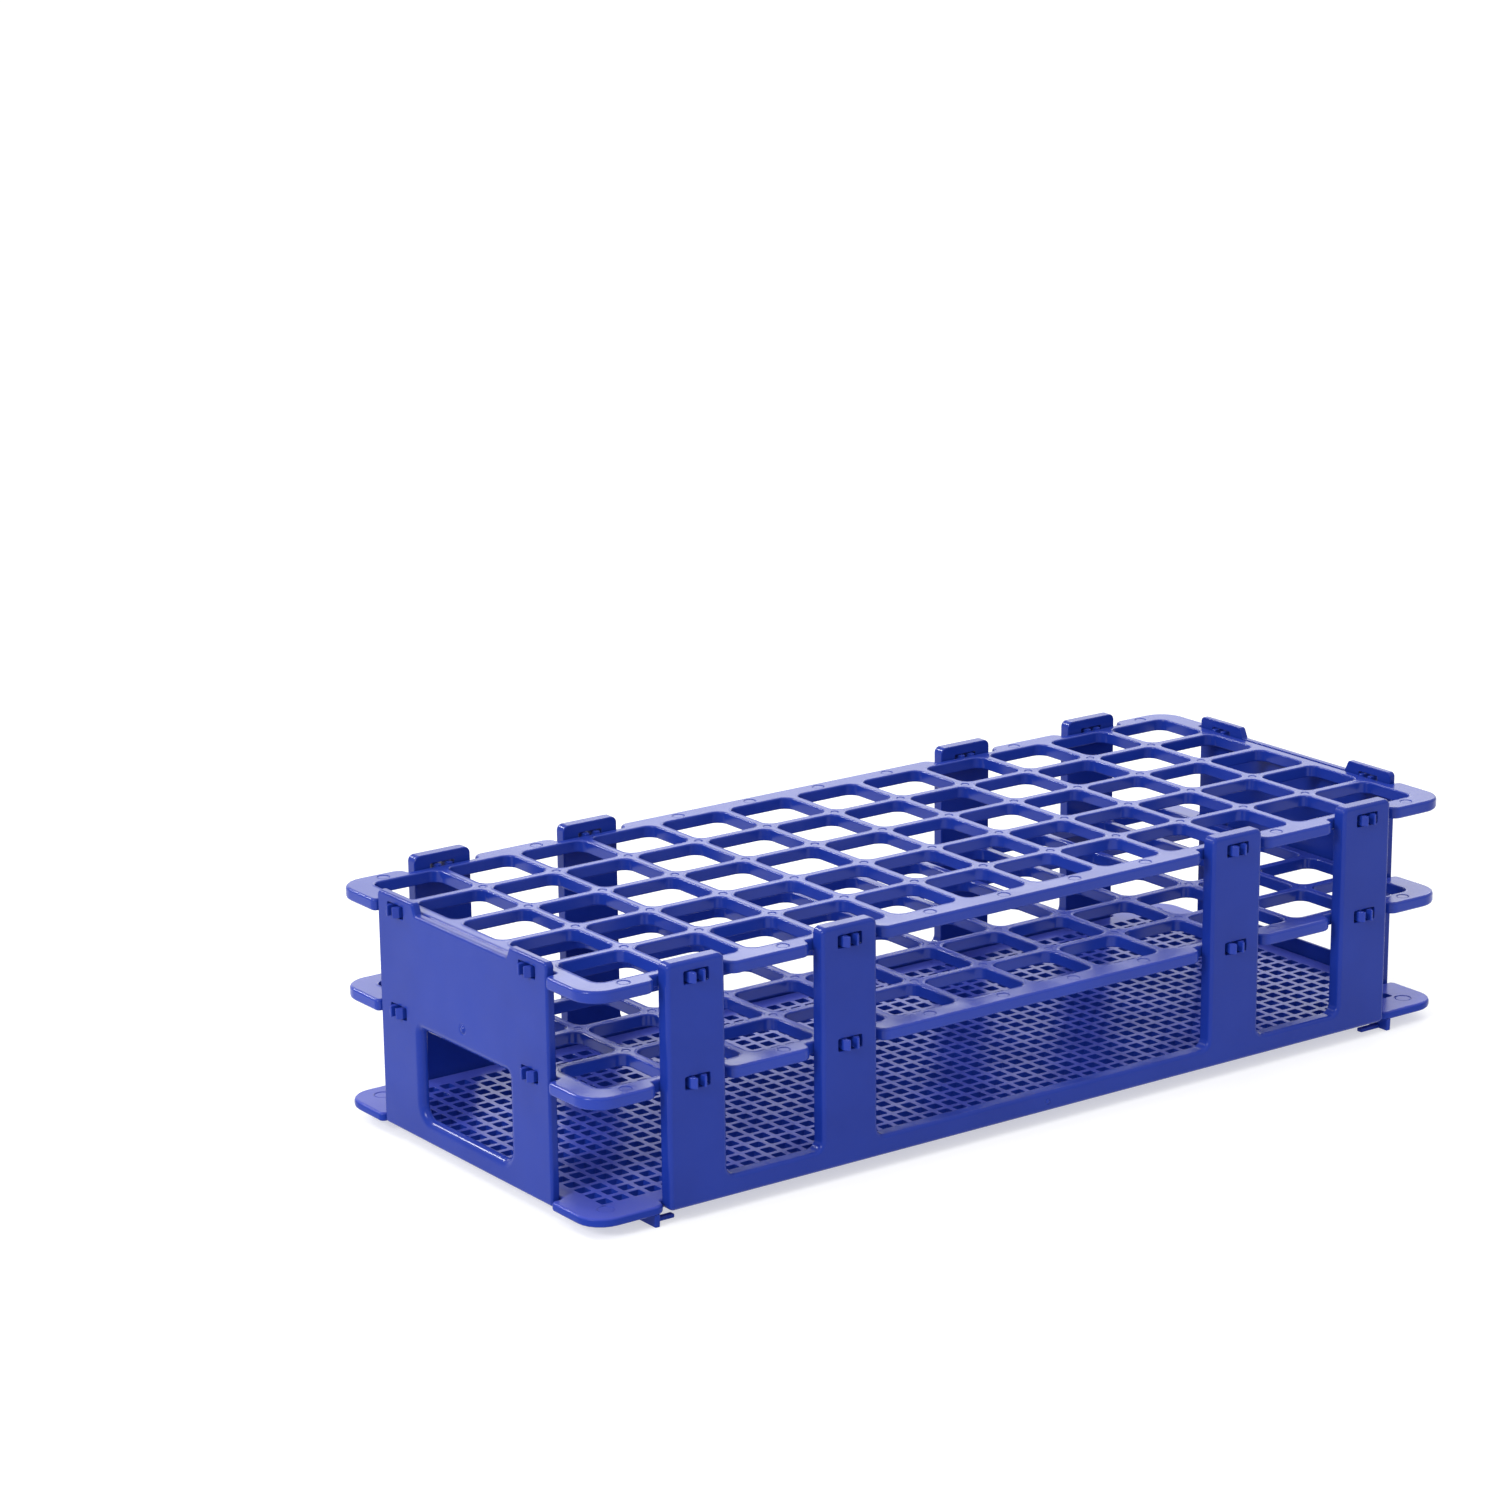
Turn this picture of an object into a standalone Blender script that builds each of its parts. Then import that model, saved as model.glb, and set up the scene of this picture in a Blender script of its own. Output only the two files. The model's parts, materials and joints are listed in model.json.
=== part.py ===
"""Test tube rack for sixty 16 mm tubes, in five rows of twelve, snapped together from seven mouldings.

Metres, +Z up. The origin is at the middle of the footprint, on the surface that the rack stands on.
X runs along the rack and Y across it, with the front long side at -Y.
"""

from math import atan2, cos, pi, sin, tan

import bmesh
import bpy
from mathutils import Vector

MM = 0.001
FIT = 0.3 * MM  # clearance wherever two mouldings meet

# Tube grid
COLUMNS = 12
ROWS = 5
PITCH_X = 19.7 * MM
PITCH_Y = 18.7 * MM
WEB = 2.3 * MM
OPENING_RADIUS = 2.4 * MM

# Trays
TRAY_THICK = 2.9 * MM
TRAY_GAP = 23.5 * MM  # from the top tray down to the middle one
TRAY_HALF_X = 123.2 * MM  # over the corner ears
TRAY_HALF_Y = 51.2 * MM
EAR_RADIUS = 6.5 * MM
EAR_NOTCH_RADIUS = 1.4 * MM
NOTCH_RADIUS = 2.7 * MM
NOTCH_ROOM = 1.7 * MM  # between an upright and the tray on each side of it
FLOOR_THICK = 2.1 * MM
FLOOR_CELLS = 2  # drain holes across each tube position, both ways
DRAIN = 4.2 * MM

# Heights above the table
TOP = 55.5 * MM  # upper face of the top tray
MIDDLE = TOP - TRAY_GAP
FLOOR = 4.9 * MM
PANEL_BOTTOM = 3.1 * MM

# Long side panels
SIDE_HALF_X = 103.8 * MM
SIDE_FACE_Y = 52.0 * MM
SIDE_THICK = 3.5 * MM
SIDE_TOP = 58.5 * MM
RAIL_TOP = 7.9 * MM
UPRIGHT_WIDTH = 15.0 * MM
UPRIGHTS_X = (-96.3 * MM, -55.8 * MM, 55.8 * MM, 96.3 * MM)
UPRIGHT_TOP_RADIUS = 1.6 * MM
GAP_RADIUS = 2.2 * MM

# End panels
END_FACE_X = 122.4 * MM
END_THICK = 2.0 * MM
END_HALF_Y = 34.2 * MM
END_CLIP_Y = 26.6 * MM
SHOULDER_TOP = 58.0 * MM
SHOULDER_OUTER_RADIUS = 1.2 * MM
SHOULDER_INNER_Y = 19.6 * MM
SHOULDER_FOOT_Y = 18.4 * MM
HAND_HALF_Y = 17.9 * MM
HAND_LOW = 8.5 * MM
HAND_HIGH = 29.0 * MM
HAND_RADIUS_LOW = 3.4 * MM
HAND_RADIUS_HIGH = 1.0 * MM
HAND_FLARE = 2.1 * MM  # the hand hole is this much larger all round on the outer face

# Snap clips
CLIP_WIDTH = 6.5 * MM
CLIP_TOP = 0.7 * MM  # above the tray's upper face
CLIP_HEIGHT = 2.9 * MM
PRONG_WIDTH = 1.3 * MM
PRONG_SLOT = 1.7 * MM
PRONG_TIP = 0.5 * MM
PRONG_RAMP = 1.2 * MM  # length of the slope down to the tip
PRONG_REACH = 1.5 * MM  # past the panel's outer face
PRONG_ROOT = 0.8 * MM  # into the tray
PRONG_LOW = 2.0 * MM  # below the tray's upper face
PRONG_HIGH = 0.5 * MM  # above it

# Feet: a rib under the floor tray at each end of its two long notches, with a low ledge behind the side panel
FOOT_SETBACK = 1.75 * MM  # of the rib from the end of the notch
FOOT_INSET = 0.2 * MM  # of the rib from the tray's long edge
FOOT_RIB_THICK = 1.4 * MM
FOOT_RIB_LENGTH = 8.4 * MM
FOOT_LEDGE_LENGTH = 5.6 * MM
FOOT_LEDGE_DEPTH = 1.6 * MM
FOOT_LEDGE_HEIGHT = 0.9 * MM
FOOT_OVERLAP = 0.5 * MM  # of the ledge into the rib

BLUE = (0.052, 0.068, 0.36, 1.0)
ARC_STEPS = 2

PLANES = {
    "XY": lambda a, b, depth: Vector((a, b, depth)),
    "XZ": lambda a, b, depth: Vector((a, depth, b)),
    "YZ": lambda a, b, depth: Vector((depth, a, b)),
}


def clear_scene():
    """Removes whatever the file holds."""
    for item in list(bpy.data.objects):
        bpy.data.objects.remove(item, do_unlink=True)


def plastic(name):
    """Blue polypropylene, one material for each moulding."""
    material = bpy.data.materials.new(name)
    material.use_nodes = True
    shader = material.node_tree.nodes["Principled BSDF"]
    shader.inputs["Base Color"].default_value = BLUE
    shader.inputs["Roughness"].default_value = 0.38
    shader.inputs["Metallic"].default_value = 0.0
    return material


def fillet(before, corner, after, radius, steps):
    """Points of the arc that rounds one corner of an outline, or the corner itself at radius zero."""
    here = Vector(corner)
    back = (Vector(before) - here).normalized()
    ahead = (Vector(after) - here).normalized()
    if radius <= 0.0:
        return [tuple(here)]
    half = back.angle(ahead) / 2
    centre = here + (back + ahead).normalized() * (radius / sin(half))
    start = here + back * (radius / tan(half)) - centre
    end = here + ahead * (radius / tan(half)) - centre
    first = atan2(start.y, start.x)
    sweep = atan2(start.x * end.y - start.y * end.x, start.dot(end))
    points = []
    for step in range(steps + 1):
        angle = first + sweep * step / steps
        points.append((centre.x + radius * cos(angle), centre.y + radius * sin(angle)))
    return points


def rounded(corners, steps=ARC_STEPS):
    """Closed outline from (a, b, radius) corners."""
    points = []
    for index, (a, b, radius) in enumerate(corners):
        before = corners[index - 1][:2]
        after = corners[(index + 1) % len(corners)][:2]
        points.extend(fillet(before, (a, b), after, radius, steps))
    return points


def rectangle(a, b, half_a, half_b, radius=0.0, steps=ARC_STEPS):
    """Rounded rectangle centred on a, b."""
    signs = ((-1, -1), (1, -1), (1, 1), (-1, 1))
    return rounded([(a + i * half_a, b + j * half_b, radius) for i, j in signs], steps)


def make_object(name, mesh, material):
    """Puts a finished bmesh into the scene as one named object."""
    bmesh.ops.recalc_face_normals(mesh, faces=mesh.faces[:])
    data = bpy.data.meshes.new(name)
    mesh.to_mesh(data)
    mesh.free()
    item = bpy.data.objects.new(name, data)
    bpy.context.collection.objects.link(item)
    if material:
        data.materials.append(material)
    return item


def add_slab(mesh, outline, holes, plane, near, far):
    """Adds a flat plate with holes to a bmesh, filled between its outlines and extruded near to far."""
    place = PLANES[plane]
    edges = []
    for loop in [outline] + holes:
        corners = [mesh.verts.new(place(a, b, near)) for a, b in loop]
        for index, corner in enumerate(corners):
            edges.append(mesh.edges.new((corner, corners[(index + 1) % len(corners)])))
    filled = bmesh.ops.triangle_fill(mesh, edges=edges, use_beauty=True)
    faces = [part for part in filled["geom"] if isinstance(part, bmesh.types.BMFace)]
    lifted = bmesh.ops.extrude_face_region(mesh, geom=faces)
    moved = [part for part in lifted["geom"] if isinstance(part, bmesh.types.BMVert)]
    bmesh.ops.translate(mesh, verts=moved, vec=place(0.0, 0.0, far - near))
    return moved


def slab(name, outline, holes, plane, near, far, material=None):
    """One plate as an object."""
    mesh = bmesh.new()
    add_slab(mesh, outline, holes, plane, near, far)
    return make_object(name, mesh, material)


def unite(target, cutter, name):
    """Joins the closed shapes in one hidden helper object onto a moulding."""
    cutter.hide_render = True
    cutter.display_type = "WIRE"
    union = target.modifiers.new(name, "BOOLEAN")
    union.operation = "UNION"
    union.solver = "EXACT"
    union.object = cutter


def tube_positions():
    """Centres of the sixty tube openings."""
    columns = [(column - (COLUMNS - 1) / 2) * PITCH_X for column in range(COLUMNS)]
    rows = [(row - (ROWS - 1) / 2) * PITCH_Y for row in range(ROWS)]
    return [(x, y) for x in columns for y in rows]


def tray_outline():
    """Tray edge: four corner ears, a notch behind each upright and a set-back at both ends."""
    end_x = END_FACE_X - END_THICK - FIT
    ear_y = END_HALF_Y + FIT
    notch_y = SIDE_FACE_Y - SIDE_THICK - FIT
    half_notch = UPRIGHT_WIDTH / 2 + NOTCH_ROOM
    front = []
    for x in UPRIGHTS_X:
        front.append((x - half_notch, -TRAY_HALF_Y, NOTCH_RADIUS))
        front.append((x - half_notch, -notch_y, 0.0))
        front.append((x + half_notch, -notch_y, 0.0))
        front.append((x + half_notch, -TRAY_HALF_Y, NOTCH_RADIUS))
    right = [
        (TRAY_HALF_X, -TRAY_HALF_Y, EAR_RADIUS),
        (TRAY_HALF_X, -ear_y, EAR_NOTCH_RADIUS),
        (end_x, -ear_y, 0.0),
        (end_x, ear_y, 0.0),
        (TRAY_HALF_X, ear_y, EAR_NOTCH_RADIUS),
        (TRAY_HALF_X, TRAY_HALF_Y, EAR_RADIUS),
    ]
    half = front + right
    return rounded(half + [(-x, -y, radius) for x, y, radius in half])


def floor_outline():
    """Floor tray edge: as the other trays, but with one long notch for each side panel's rail."""
    end_x = END_FACE_X - END_THICK - FIT
    ear_y = END_HALF_Y + FIT
    notch_x = SIDE_HALF_X + FIT
    notch_y = SIDE_FACE_Y - SIDE_THICK - FIT
    half = [
        (-notch_x, -TRAY_HALF_Y, NOTCH_RADIUS),
        (-notch_x, -notch_y, 0.0),
        (notch_x, -notch_y, 0.0),
        (notch_x, -TRAY_HALF_Y, NOTCH_RADIUS),
        (TRAY_HALF_X, -TRAY_HALF_Y, EAR_RADIUS),
        (TRAY_HALF_X, -ear_y, EAR_NOTCH_RADIUS),
        (end_x, -ear_y, 0.0),
        (end_x, ear_y, 0.0),
        (TRAY_HALF_X, ear_y, EAR_NOTCH_RADIUS),
        (TRAY_HALF_X, TRAY_HALF_Y, EAR_RADIUS),
    ]
    return rounded(half + [(-x, -y, radius) for x, y, radius in half])


def prong_outline(root, tip):
    """One snap prong seen from above, pointing along +b from root to tip, to the right of its slot."""
    inner = PRONG_SLOT / 2
    outer = inner + PRONG_WIDTH
    return [
        (inner, root),
        (outer, root),
        (outer, tip - PRONG_RAMP),
        (inner + PRONG_TIP, tip),
        (inner, tip),
    ]


def add_prong_pair(mesh, along, side, face, thick, level, ends):
    """Two prongs through one clip window; ends tells whether they point along X or along Y."""
    root = face - thick - FIT - PRONG_ROOT
    for mirror in (-1, 1):
        outline = []
        for a, b in prong_outline(root, face + PRONG_REACH):
            shifted = along + mirror * a
            outline.append((side * b, shifted) if ends else (shifted, side * b))
        add_slab(mesh, outline, [], "XY", level - PRONG_LOW, level + PRONG_HIGH)


def prongs(name, level):
    """All the snap prongs of one tray, as one hidden helper."""
    mesh = bmesh.new()
    for side in (-1, 1):
        for x in UPRIGHTS_X:
            add_prong_pair(mesh, x, side, SIDE_FACE_Y, SIDE_THICK, level, False)
        for y in (-END_CLIP_Y, END_CLIP_Y):
            add_prong_pair(mesh, y, side, END_FACE_X, END_THICK, level, True)
    return make_object(name, mesh, None)


def tube_tray(name, level):
    """Top or middle tray, with a rounded opening for each tube."""
    half_x = (PITCH_X - WEB) / 2
    half_y = (PITCH_Y - WEB) / 2
    openings = [rectangle(x, y, half_x, half_y, OPENING_RADIUS) for x, y in tube_positions()]
    tray = slab(name, tray_outline(), openings, "XY", level - TRAY_THICK, level, plastic(name))
    unite(tray, prongs(name + "_prong_helper", level), "prongs")
    return tray


def box_outline(side_x, side_y, near, far, low, high):
    """Rectangle from near to far along X and from low to high along Y, in one quarter of the rack."""
    corners = [(near, low), (far, low), (far, high), (near, high)]
    return [(side_x * a, side_y * b) for a, b in corners]


def feet(name, ledges):
    """The ribs or the ledges of the four feet, as one hidden helper that reaches into the floor tray."""
    mesh = bmesh.new()
    rib = SIDE_HALF_X + FIT + FOOT_SETBACK
    front = TRAY_HALF_Y - FOOT_INSET
    ledge = SIDE_FACE_Y - SIDE_THICK - FIT
    for side_x in (-1, 1):
        for side_y in (-1, 1):
            if ledges:
                spans = (rib - FOOT_LEDGE_LENGTH, rib + FOOT_OVERLAP, ledge - FOOT_LEDGE_DEPTH, ledge)
                height = FOOT_LEDGE_HEIGHT
            else:
                spans = (rib, rib + FOOT_RIB_THICK, front - FOOT_RIB_LENGTH, front)
                height = FLOOR - FLOOR_THICK / 2
            add_slab(mesh, box_outline(side_x, side_y, *spans), [], "XY", 0.0, height)
    return make_object(name, mesh, None)


def floor_tray(name):
    """Bottom tray: a drained floor that the tubes stand on, and the four feet."""
    drains = []
    for x, y in tube_positions():
        for i in range(FLOOR_CELLS):
            for j in range(FLOOR_CELLS):
                drain_x = x + (i - (FLOOR_CELLS - 1) / 2) * PITCH_X / FLOOR_CELLS
                drain_y = y + (j - (FLOOR_CELLS - 1) / 2) * PITCH_Y / FLOOR_CELLS
                drains.append(rectangle(drain_x, drain_y, DRAIN / 2, DRAIN / 2))
    tray = slab(name, floor_outline(), drains, "XY", FLOOR - FLOOR_THICK, FLOOR, plastic(name))
    unite(tray, feet(name + "_rib_helper", False), "ribs")
    unite(tray, feet(name + "_ledge_helper", True), "ledges")
    return tray


def clip_window(along, level):
    """Window in a panel for one pair of prongs."""
    middle = level + CLIP_TOP - CLIP_HEIGHT / 2
    return rectangle(along, middle, CLIP_WIDTH / 2, CLIP_HEIGHT / 2)


def side_panel(name, side):
    """Long side: a bottom rail with four uprights, each with two clip windows."""
    half = UPRIGHT_WIDTH / 2
    corners = [(-SIDE_HALF_X, PANEL_BOTTOM, 0.0), (SIDE_HALF_X, PANEL_BOTTOM, 0.0)]
    for x in reversed(UPRIGHTS_X):
        if x < UPRIGHTS_X[-1]:
            corners.append((x + half, RAIL_TOP, GAP_RADIUS))
        corners.append((x + half, SIDE_TOP, UPRIGHT_TOP_RADIUS))
        corners.append((x - half, SIDE_TOP, UPRIGHT_TOP_RADIUS))
        if x > UPRIGHTS_X[0]:
            corners.append((x - half, RAIL_TOP, GAP_RADIUS))
    windows = [clip_window(x, level) for x in UPRIGHTS_X for level in (TOP, MIDDLE)]
    inner = side * (SIDE_FACE_Y - SIDE_THICK)
    return slab(name, rounded(corners), windows, "XZ", inner, side * SIDE_FACE_Y, plastic(name))


def end_outline():
    """End panel seen from the end: a sheet with two raised shoulders that hold the upper clips."""
    half = [
        (END_HALF_Y, PANEL_BOTTOM, 0.0),
        (END_HALF_Y, SHOULDER_TOP, SHOULDER_OUTER_RADIUS),
        (SHOULDER_INNER_Y, SHOULDER_TOP, 0.0),
        (SHOULDER_FOOT_Y, TOP, 0.0),
    ]
    return rounded(half + [(-y, z, radius) for y, z, radius in reversed(half)])


def hand_outline(grow):
    """Hand hole, grown all round by a given amount."""
    half = HAND_HALF_Y + grow
    corners = [
        (-half, HAND_LOW - grow, HAND_RADIUS_LOW + grow),
        (half, HAND_LOW - grow, HAND_RADIUS_LOW + grow),
        (half, HAND_HIGH + grow, HAND_RADIUS_HIGH + grow),
        (-half, HAND_HIGH + grow, HAND_RADIUS_HIGH + grow),
    ]
    return rounded(corners, 2 * ARC_STEPS)


def end_panel(name, side):
    """Short side: shoulders, four clip windows and a hand hole that flares towards the outside."""
    windows = [clip_window(y, level) for y in (-END_CLIP_Y, END_CLIP_Y) for level in (TOP, MIDDLE)]
    inner = side * (END_FACE_X - END_THICK)
    outer = side * END_FACE_X
    mesh = bmesh.new()
    moved = add_slab(mesh, end_outline(), windows + [hand_outline(0.0)], "YZ", inner, outer)
    narrow = [Vector(point) for point in hand_outline(0.0)]
    wide = [Vector(point) for point in hand_outline(HAND_FLARE)]
    for vertex in moved:
        for old, new in zip(narrow, wide):
            if (Vector((vertex.co.y, vertex.co.z)) - old).length < 0.01 * MM:
                vertex.co.y = new.x
                vertex.co.z = new.y
                break
    return make_object(name, mesh, plastic(name))


def main():
    clear_scene()
    tube_tray("top_tray", TOP)
    tube_tray("middle_tray", MIDDLE)
    floor_tray("bottom_tray")
    side_panel("front_panel", -1)
    side_panel("back_panel", 1)
    end_panel("left_end_panel", -1)
    end_panel("right_end_panel", 1)


main()
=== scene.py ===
"""Looks of the test tube rack: rounded edges, a fine floor mesh, snap prongs and the marks of the mould.

Metres, +Z up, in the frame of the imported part. Each moulding of the frame is replaced by one finer piece.
"""

import json
from math import atan2, cos, pi, radians, sin, tan

import bmesh
import bpy
from mathutils import Matrix, Vector

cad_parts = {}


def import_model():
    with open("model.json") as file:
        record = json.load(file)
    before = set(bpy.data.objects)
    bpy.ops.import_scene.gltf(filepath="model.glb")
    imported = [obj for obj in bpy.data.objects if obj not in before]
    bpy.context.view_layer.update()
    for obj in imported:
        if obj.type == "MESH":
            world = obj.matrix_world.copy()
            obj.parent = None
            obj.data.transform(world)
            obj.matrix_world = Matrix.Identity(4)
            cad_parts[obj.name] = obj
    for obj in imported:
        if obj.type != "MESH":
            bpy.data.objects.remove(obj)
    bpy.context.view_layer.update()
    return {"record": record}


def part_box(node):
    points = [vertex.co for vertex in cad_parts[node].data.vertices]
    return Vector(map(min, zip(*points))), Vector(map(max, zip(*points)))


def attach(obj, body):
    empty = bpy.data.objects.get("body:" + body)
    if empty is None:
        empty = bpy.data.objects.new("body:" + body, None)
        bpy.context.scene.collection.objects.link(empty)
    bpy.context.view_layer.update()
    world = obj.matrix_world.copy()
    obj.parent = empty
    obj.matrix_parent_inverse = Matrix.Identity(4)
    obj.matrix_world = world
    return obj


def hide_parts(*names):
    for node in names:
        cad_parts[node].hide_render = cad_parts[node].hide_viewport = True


MM = 0.001
FIT = 0.3 * MM  # clearance wherever two mouldings meet

# Tube grid
COLUMNS = 12
ROWS = 5
WEB = 2.3 * MM
OPENING_RADIUS = 2.4 * MM

# Trays
TRAY_THICK = 2.9 * MM
EAR_RADIUS = 6.5 * MM
EAR_NOTCH_RADIUS = 1.4 * MM
NOTCH_RADIUS = 2.65 * MM
NOTCH_ROOM = 1.7 * MM  # between an upright and the tray on each side of it
EDGE = 0.7 * MM  # rounding along the outer edges
RIM = 0.42 * MM  # rounding along the openings
DRAFT = 0.12 * MM
BEAD_RISE = 0.08 * MM  # of the slightly raised rim round each tube opening
BEAD_WIDTH = 0.42 * MM

# Rings of that rim's slope: share of its width, share of its rise, and the normal's lean in radians
BEAD_RINGS = ((1.0, 0.0, 0.0), (0.75, 0.1, 0.2), (0.2, 0.85, 0.2))

# Mesh of the floor tray
FLOOR_THICK = 2.1 * MM
MESH_COLUMNS = 55
MESH_ROWS = 21
MESH_HALF_X = 116.0 * MM
MESH_HALF_Y = 43.6 * MM
MESH_HOLE = 2.85 * MM
MESH_HOLE_RADIUS = 0.18 * MM
MESH_RIM = 0.12 * MM

# Long side panels
SIDE_THICK = 3.5 * MM
RAIL_HEIGHT = 4.8 * MM
UPRIGHT_WIDTH = 15.0 * MM
UPRIGHTS_X = (-96.3 * MM, -55.8 * MM, 55.8 * MM, 96.3 * MM)
UPRIGHT_TOP_RADIUS = 1.6 * MM
GAP_RADIUS = 2.2 * MM
SIDE_EDGE = 1.0 * MM
SIDE_BACK_EDGE = 0.3 * MM
PANEL_CORNER = 1.1 * MM

# End panels
END_THICK = 2.0 * MM
END_CLIP_Y = 26.6 * MM
SHOULDER_OUTER_RADIUS = 1.2 * MM
SHOULDER_CORNER = 0.8 * MM
SHOULDER_INNER_Y = 19.6 * MM
SHOULDER_FOOT_Y = 18.4 * MM
HAND_HALF_Y = 17.9 * MM
HAND_LOW = 8.5 * MM
HAND_HIGH = 29.0 * MM
HAND_RADIUS_LOW = 3.4 * MM
HAND_RADIUS_HIGH = 1.0 * MM
HAND_FLARE = 2.1 * MM
HAND_BACK_EDGE = 0.2 * MM
END_EDGE = 0.7 * MM
END_BACK_EDGE = 0.25 * MM

# Snap clips
CLIP_WIDTH = 6.5 * MM
CLIP_TOP = 0.7 * MM  # above the tray's upper face
CLIP_HEIGHT = 2.9 * MM
WINDOW_EDGE = 0.15 * MM
WINDOW_BACK_EDGE = 0.1 * MM
PRONG_WIDTH = 1.3 * MM
PRONG_SLOT = 1.7 * MM  # between the two prongs of a pair
PRONG_TIP = 0.5 * MM
PRONG_RAMP = 1.2 * MM  # length of the slope down to the tip
PRONG_ROOT = 0.8 * MM  # into the tray
PRONG_LOW = 2.0 * MM  # below the tray's upper face
PRONG_HIGH = 0.5 * MM  # above it
PRONG_EDGE = 0.15 * MM

# Feet
FOOT_SETBACK = 1.75 * MM  # of the rib from the end of the notch
FOOT_INSET = 0.2 * MM  # of the rib from the tray's long edge
FOOT_RIB_THICK = 1.4 * MM
FOOT_RIB_LENGTH = 8.4 * MM
FOOT_LEDGE_LENGTH = 5.6 * MM
FOOT_LEDGE_DEPTH = 1.6 * MM
FOOT_LEDGE_HEIGHT = 0.9 * MM
FOOT_OVERLAP = 0.5 * MM  # of the ledge into the rib
FOOT_SINK = 0.1 * MM  # of the rib into the tray
FOOT_EDGE = 0.2 * MM
FOOT_ROOT_EDGE = 0.05 * MM
FOOT_DRAFT = 0.08 * MM

# Marks that the mould leaves
CROSSING_MARK = 1.15 * MM  # radius
BORDER_MARK = 1.65 * MM
BORDER_MARKS_X = (10.2 * MM, 31.0 * MM, 71.0 * MM, 112.3 * MM)
BORDER_MARK_INSET = 3.0 * MM
EAR_MARK = 2.15 * MM
EAR_MARK_INSET_X = 7.0 * MM
EAR_MARK_INSET_Y = 5.6 * MM
MARK_GROOVE = 0.28 * MM  # depth
MARK_BANK = 0.12 * MM
GATE_HEIGHT = 34.2 * MM  # of the gate mark on an end panel
GATE_RADIUS = 1.5 * MM
RAIL_GATE_RADIUS = 0.9 * MM

# Rings of a groove: banks inwards, share of the depth, and the normal's tilt in quarter turns
GROOVE_RINGS = ((0, 0.0, 1.0), (1, -0.5, 1.5), (2, -1.0, 1.0), (3, -0.65, 0.5), (4, -0.3, 1.0))

# Rings of a gate mark: share of the radius, rise, and the normal's tilt in quarter turns
GATE_RINGS = (
    (1.0, 0.0, 1.0),
    (0.88, -0.05 * MM, 1.25),
    (0.76, -0.1 * MM, 1.0),
    (0.62, 0.0, 0.45),
    (0.4, 0.16 * MM, 0.5),
    (0.2, 0.22 * MM, 0.8),
    (0.1, 0.24 * MM, 1.0),
)

DEEP_BLUE = (0.0082, 0.026, 0.232)
MID_BLUE = (0.0102, 0.0315, 0.268)
# Paler blue painted on the faces that look up: a painted reflection of the bright sky
PAINTED_REFLECTION_BLUE = (0.055, 0.075, 0.41)

# For each moulding's plastic: least roughness, specular level, painted reflection on the upper faces, and a
# brightness that paints in more light
FINISH = {
    "top_tray": (0.15, 0.23, 0.15, 1.1),
    "middle_tray": (0.13, 0.25, 0.4, 1.2),
    "bottom_tray": (0.17, 0.09, 0.9, 1.1),
    "front_panel": (0.15, 0.17, 0.1, 1.0),
    "back_panel": (0.15, 0.17, 0.1, 1.0),
    "left_end_panel": (0.15, 0.14, 0.1, 1.0),
    "right_end_panel": (0.15, 0.14, 0.1, 1.0),
}

# Plastic: the noise scales are features in a metre
CLOUD_SCALE = 45.0
CLOUD_DEEP = 0.3  # noise value up to which the blue is deep
CLOUD_MID = 0.7  # and from which it is the paler one
WAVE_SCALE = 60.0
WAVE_HEIGHT = 0.6 * MM
WAVE_STRENGTH = 0.5
GRAIN_SCALE = 1800.0
GRAIN_HEIGHT = 0.04 * MM
GRAIN_STRENGTH = 0.12
PAINTED_REFLECTION_START = 0.3  # upward part of the normal where the painted reflection begins
PAINTED_REFLECTION_FULL = 0.9
SHEEN_SPREAD = 1.6  # greatest roughness over the least
PLASTIC_IOR = 1.5

# Surroundings
SKY_HORIZON = 0.7
SKY_ZENITH = 1.2
TABLE_RADIUS = 12.0
TABLE_SHADE = 0.5
TABLE_GLOW = 0.55
LIGHT_TARGET = (0.0, 0.0, 0.03)

# Soft boxes: place, width, height and watts
SOFTBOXES = {
    "back_softbox": ((1.0, 0.95, 0.85), 1.0, 0.6, 5.0),
    "lip_softbox": ((-0.6, 1.4, 1.0), 0.22, 0.22, 8.0),
    "low_softbox": ((0.9, 1.26, 0.5), 2.4, 0.5, 4.0),
    "left_softbox": ((-1.4, -0.3, 0.9), 0.45, 0.45, 14.5),
}

# Camera at the viewing angle of the reference
CAMERA_PLACE = (-0.59737, -0.77092, 0.3410)
CAMERA_ROUND = radians(35.613)  # clockwise from looking along +Y
CAMERA_DOWN = radians(18.0268)
CAMERA_ROLL = radians(-0.6635)
CAMERA_LENS = 105.2  # in millimetres, for a sensor 36 millimetres wide
CAMERA_SHIFT = 0.1467

# How finely round stretches are divided
SMALL_RADIUS = 0.3 * MM  # in corners that look square
SMALL_STEPS = 2
EDGE_STEPS = 3
ARC_STEPS = 6
LIP_STEPS = 7
OPENING_STEPS = 8
HAND_STEPS = 10
MARK_STEPS = 20

CORNERS = ((-1, -1), (-1, 1), (1, -1), (1, 1))

PLANES = {
    "XY": lambda a, b, depth: Vector((a, b, depth)),
    "XZ": lambda a, b, depth: Vector((a, depth, b)),
    "YZ": lambda a, b, depth: Vector((depth, a, b)),
}


# ---- outlines: lists of (a, b, normal_a, normal_b), anticlockwise, with the normals pointing out ----


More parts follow.
